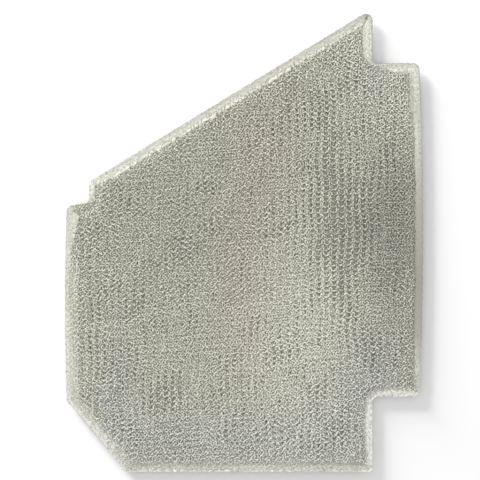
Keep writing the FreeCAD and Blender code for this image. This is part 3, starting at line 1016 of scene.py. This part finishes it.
class GREASEFILTER_OT_knit(bpy.types.Operator):
    """Adds the knit on both faces, open on the field and crushed on the rim"""

    bl_idname = "grease_filter.add_knit"
    bl_label = "Add knit"

    def execute(self, context):
        material = bare_wire(context.scene.filter_finish)
        for layer in KNIT_LAYERS:
            knit_sheet(context.scene.filter_knit, layer, material)
        return {"FINISHED"}


class GREASEFILTER_OT_rim(bpy.types.Operator):
    """Adds the mesh that is crushed flat round the edge"""

    bl_idname = "grease_filter.add_rim"
    bl_label = "Add crushed rim"

    def execute(self, context):
        material = crushed_mesh(context.scene.filter_finish)
        strip = RimStrip(context.scene.filter_rim)
        rings = strip.rings()
        faces, corners = strip.faces(*rings.shape[:2])
        piece = new_piece("crushed_rim", rings, faces, material)
        marks = {
            "edge_grey_and_shade": strip.edge_grey_and_shade(), "shine": strip.shine(), "cool": face_tone(strip.flat)[1]}
        for name, values in marks.items():
            # The underside's points come back from the inner side to the cut edge.
            mark_points(piece, name, np.concatenate([values, values[:, ::-1]], axis=1))
        lay_bake_map(piece, corners)
        return {"FINISHED"}


class Lamp(NamedTuple):
    """A square lamp in metres, and whether it lights only the floor or all but the floor."""

    name: str
    size: float
    place: tuple
    on_floor: bool


# Both stand at the upper left, a high one for the filter and a low one for its shadow.
FILTER_LAMP = Lamp("filter_lamp", 2.2, (-1.45, 1.35, 2.2), False)
FLOOR_LAMP = Lamp("floor_lamp", 0.9, (-1.8, 2.2, 0.74), True)
FLOOR_HALF = 3.0
# Light that the floor adds of its own where it is seen, which makes it white.
FLOOR_GLOW = 0.05
FLOOR_COLOUR = "#FBFBFB"
SKY_COLOUR = "#FFFFFF"


class GREASEFILTER_OT_stage(bpy.types.Operator):
    """Sets the floor, the light and the camera"""

    bl_idname = "grease_filter.set_stage"
    bl_label = "Set stage"

    def execute(self, context):
        scene = context.scene
        stage = scene.filter_stage
        scene.view_settings.view_transform = "Standard"
        floor = self.add_floor(scene)
        self.add_lamp(scene, floor, FILTER_LAMP, stage.lamp_power)
        self.add_lamp(scene, floor, FLOOR_LAMP, stage.floor_power)
        self.add_sky(scene, stage.sky)
        camera = bpy.data.objects.new("camera", bpy.data.cameras.new("camera"))
        scene.collection.objects.link(camera)
        camera.location = (stage.view_across, stage.view_along, PAD.middle + stage.view_distance)
        camera.data.lens = camera.data.sensor_width * stage.view_distance / stage.view_width
        scene.camera = camera
        return {"FINISHED"}

    def white_paper(self):
        """Matt white paper: it keeps shadows, and shows white to the camera and to metal."""
        material, tree = new_material("white_paper_floor")
        rays = add_node(tree, "ShaderNodeLightPath", {}).outputs
        seen = rays["Is Camera Ray"]
        for other in ("Is Glossy Ray", "Is Transmission Ray"):
            either = add_node(tree, "ShaderNodeMath", {0: seen, 1: rays[other]}, operation="MAXIMUM")
            seen = either.outputs["Value"]
        glow = add_node(tree, "ShaderNodeMath", {0: seen, 1: FLOOR_GLOW}, operation="MULTIPLY")
        paper = add_node(tree, "ShaderNodeBsdfDiffuse", {"Color": opaque(linear(FLOOR_COLOUR))})
        white = add_node(tree, "ShaderNodeEmission", {"Strength": glow.outputs["Value"]})
        both = add_node(tree, "ShaderNodeAddShader", {
            0: paper.outputs["BSDF"], 1: white.outputs["Emission"]})
        add_node(tree, "ShaderNodeOutputMaterial", {"Surface": both.outputs["Shader"]})
        return material

    def add_floor(self, scene):
        """A square sheet of paper under the filter."""
        corners = [(-1, -1), (1, -1), (1, 1), (-1, 1)]
        mesh = bpy.data.meshes.new("floor")
        mesh.from_pydata([(x * FLOOR_HALF, y * FLOOR_HALF, 0) for x, y in corners], [], [(0, 1, 2, 3)])
        mesh.materials.append(self.white_paper())
        floor = bpy.data.objects.new("floor", mesh)
        scene.collection.objects.link(floor)
        return floor

    def add_lamp(self, scene, floor, lamp, power):
        """A lamp that faces the filter."""
        light = bpy.data.objects.new(lamp.name, bpy.data.lights.new(lamp.name, "AREA"))
        scene.collection.objects.link(light)
        light.data.energy = power
        light.data.size = lamp.size
        light.location = lamp.place
        light.rotation_euler = light.location.to_track_quat("Z", "Y").to_euler()
        linked = bpy.data.collections.new(lamp.name + "_lights")
        linked.objects.link(floor)
        light.light_linking.receiver_collection = linked
        if not lamp.on_floor:
            linked.collection_objects[0].light_linking.link_state = "EXCLUDE"

    def add_sky(self, scene, strength):
        """Even white light from all round."""
        world = bpy.data.worlds.new("even_sky")
        world.use_nodes = True
        background = world.node_tree.nodes["Background"]
        background.inputs["Color"].default_value = opaque(linear(SKY_COLOUR))
        background.inputs["Strength"].default_value = strength
        scene.world = world


class GREASEFILTER_PT_panel(bpy.types.Panel):
    """Lists the filter's pieces and settings"""

    bl_idname = "GREASEFILTER_PT_panel"
    bl_label = "Grease filter"
    bl_space_type = "VIEW_3D"
    bl_region_type = "UI"
    bl_category = "Grease filter"

    def draw(self, context):
        for operator in OPERATORS:
            self.layout.operator(operator.bl_idname)
        for group in SETTINGS:
            settings = getattr(context.scene, group)
            for name in settings.__annotations__:
                self.layout.prop(settings, name)


OPERATORS = (
    GREASEFILTER_OT_core, GREASEFILTER_OT_knit, GREASEFILTER_OT_rim, GREASEFILTER_OT_stage)
SETTINGS = {
    "filter_knit": KnitSettings, "filter_rim": RimSettings,
    "filter_finish": FinishSettings, "filter_stage": StageSettings}


def register():
    """Registers the settings, the operators and the panel."""
    for name, group in SETTINGS.items():
        bpy.utils.register_class(group)
        setattr(bpy.types.Scene, name, bpy.props.PointerProperty(type=group))
    for operator in (*OPERATORS, GREASEFILTER_PT_panel):
        bpy.utils.register_class(operator)


def unregister():
    """Takes away what register added."""
    for operator in (GREASEFILTER_PT_panel, *reversed(OPERATORS)):
        bpy.utils.unregister_class(operator)
    for name, group in SETTINGS.items():
        delattr(bpy.types.Scene, name)
        bpy.utils.unregister_class(group)


def main():
    """Builds the filter piece by piece."""
    register()
    bpy.ops.grease_filter.add_core()
    bpy.ops.grease_filter.add_knit()
    bpy.ops.grease_filter.add_rim()
    bpy.ops.grease_filter.set_stage()


if __name__ == "__main__":
    main()
